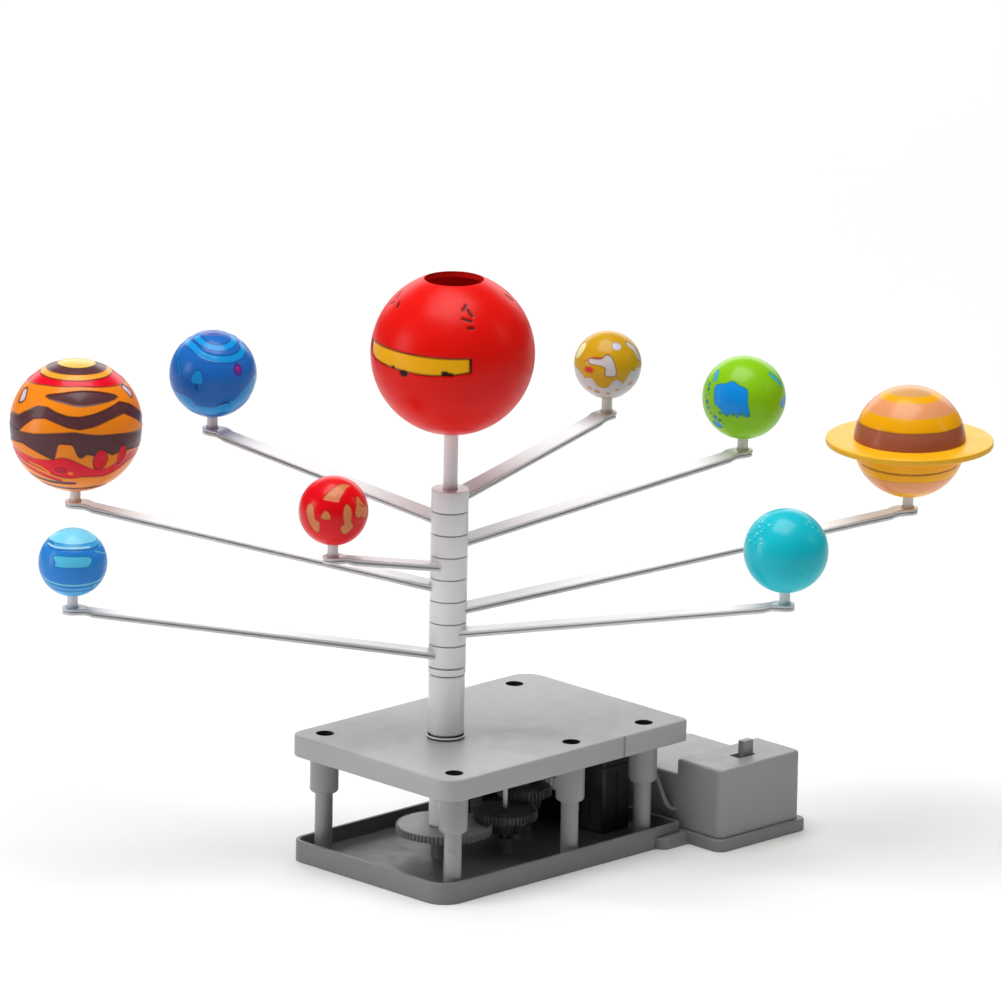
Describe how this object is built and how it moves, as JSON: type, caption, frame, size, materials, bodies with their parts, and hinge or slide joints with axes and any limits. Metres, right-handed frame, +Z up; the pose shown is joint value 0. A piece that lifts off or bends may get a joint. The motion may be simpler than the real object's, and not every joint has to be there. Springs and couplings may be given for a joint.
{
  "type": "orrery",
  "caption": "Motorised planetary orrery: geared base with battery box, one driven column, stacked friction hubs with sloping arms and planet balls, hollow sun on top.",
  "frame": {"origin": "on the column's axis, at the underside of the base tray, on the surface the orrery stands on", "axes": "+Z up the column, +X along the tray's long side towards the battery box, +Y across the tray away from the battery box's switch end"},
  "size_m": [0.3235, 0.2707, 0.23],
  "materials": {
    "base_plastic": "satin moulded grey ABS with fine grain",
    "gear_grey": "satin moulded acetal",
    "gear_dark": "satin moulded dark plastic",
    "white_plastic": "semi-gloss moulded white plastic",
    "steel": "zinc-plated steel",
    "motor_steel": "drawn steel can",
    "sun_red": "semi-gloss red with a painted amber panel",
    "ring_amber": "gloss amber",
    "cell_wrap": "shrink-wrapped cell",
    "switch_grey": "satin dark grey",
    "lead_grey": "PVC insulated lead",
    "paint_mercury": "printed gloss ball",
    "paint_venus": "printed gloss ball",
    "paint_earth": "printed gloss ball",
    "paint_mars": "printed gloss ball",
    "paint_jupiter": "printed gloss ball",
    "paint_saturn": "printed gloss ball",
    "paint_uranus": "printed gloss ball",
    "paint_neptune": "printed gloss ball"
  },
  "bodies": {
    "base": {"base_tray": "base_plastic", "top_cover": "base_plastic", "post_near_left": "base_plastic", "screw_near_left": "steel", "post_near_middle": "base_plastic", "screw_near_middle": "steel", "post_near_right": "base_plastic", "screw_near_right": "steel", "post_far_left": "base_plastic", "screw_far_left": "steel", "post_far_middle": "base_plastic", "screw_far_middle": "steel", "post_far_right": "base_plastic", "screw_far_right": "steel", "bearing_ring": "white_plastic", "axle_b": "steel", "axle_c": "steel", "motor": "motor_steel", "motor_mount": "gear_dark", "rear_housing": "gear_dark", "side_housing": "gear_dark", "battery_housing": "base_plastic", "battery_base": "base_plastic", "battery_screw": "steel", "cell_a": "cell_wrap", "cell_b": "cell_wrap", "contact_bridge": "steel", "contact_a": "steel", "contact_b": "steel", "switch_body": "gear_dark", "lead_a": "lead_grey", "lead_b": "lead_grey"},
    "spindle": {"main_gear": "gear_grey", "spindle": "white_plastic", "drive_sleeve": "white_plastic", "column_collar": "white_plastic", "sun": "sun_red"},
    "gear_b": {"gear_b": "gear_dark"},
    "gear_c": {"gear_c": "gear_dark"},
    "pinion": {"motor_pinion": "white_plastic"},
    "knob": {"switch_knob": "switch_grey"},
    "hub_mercury": {"arm_mercury": "white_plastic", "planet_mercury": "paint_mercury"},
    "hub_venus": {"arm_venus": "white_plastic", "planet_venus": "paint_venus"},
    "hub_earth": {"arm_earth": "white_plastic", "planet_earth": "paint_earth"},
    "hub_mars": {"arm_mars": "white_plastic", "planet_mars": "paint_mars"},
    "hub_jupiter": {"arm_jupiter": "white_plastic", "planet_jupiter": "paint_jupiter"},
    "hub_saturn": {"arm_saturn": "white_plastic", "planet_saturn": "paint_saturn", "saturn_ring": "ring_amber"},
    "hub_uranus": {"arm_uranus": "white_plastic", "planet_uranus": "paint_uranus"},
    "hub_neptune": {"arm_neptune": "white_plastic", "planet_neptune": "paint_neptune"}
  },
  "joints": [
    {"name": "spindle_turn", "type": "hinge", "parent": "base", "child": "spindle", "pos_m": [0, 0, 0.049], "axis": [0, 0, 1], "continuous": true},
    {"name": "gear_b_turn", "type": "hinge", "parent": "base", "child": "gear_b", "pos_m": [0.0212, -0.0117, 0.015], "axis": [0, 0, 1], "continuous": true},
    {"name": "gear_c_turn", "type": "hinge", "parent": "base", "child": "gear_c", "pos_m": [0.0381, -0.005, 0.02], "axis": [0, 0, 1], "continuous": true},
    {"name": "pinion_turn", "type": "hinge", "parent": "base", "child": "pinion", "pos_m": [0.0532, -0.003, 0.022], "axis": [0, 0, 1], "continuous": true},
    {"name": "mercury_set", "type": "hinge", "parent": "spindle", "child": "hub_mercury", "pos_m": [0, 0, 0.14334], "axis": [0, 0, 1], "range_deg": [-30, 30]},
    {"name": "venus_set", "type": "hinge", "parent": "spindle", "child": "hub_venus", "pos_m": [0, 0, 0.13462], "axis": [0, 0, 1], "range_deg": [-30, 5]},
    {"name": "earth_set", "type": "hinge", "parent": "spindle", "child": "hub_earth", "pos_m": [0, 0, 0.1259], "axis": [0, 0, 1], "range_deg": [-10, 10]},
    {"name": "mars_set", "type": "hinge", "parent": "spindle", "child": "hub_mars", "pos_m": [0, 0, 0.11718], "axis": [0, 0, 1], "range_deg": [-10, 40]},
    {"name": "jupiter_set", "type": "hinge", "parent": "spindle", "child": "hub_jupiter", "pos_m": [0, 0, 0.10846], "axis": [0, 0, 1], "range_deg": [-5, 5]},
    {"name": "saturn_set", "type": "hinge", "parent": "spindle", "child": "hub_saturn", "pos_m": [0, 0, 0.09974], "axis": [0, 0, 1], "range_deg": [-5, 25]},
    {"name": "uranus_set", "type": "hinge", "parent": "spindle", "child": "hub_uranus", "pos_m": [0, 0, 0.09102], "axis": [0, 0, 1], "range_deg": [-30, 5]},
    {"name": "neptune_set", "type": "hinge", "parent": "spindle", "child": "hub_neptune", "pos_m": [0, 0, 0.0823], "axis": [0, 0, 1], "range_deg": [-5, 40]},
    {"name": "switch_slide", "type": "slide", "parent": "base", "child": "knob", "axis": [1, 0, 0], "range_m": [-0.003, 0]}
  ],
  "couplings": [
    {"joint": "gear_b_turn", "follows": "spindle_turn", "ratio": -3},
    {"joint": "gear_c_turn", "follows": "spindle_turn", "ratio": 6},
    {"joint": "pinion_turn", "follows": "spindle_turn", "ratio": -12}
  ]
}
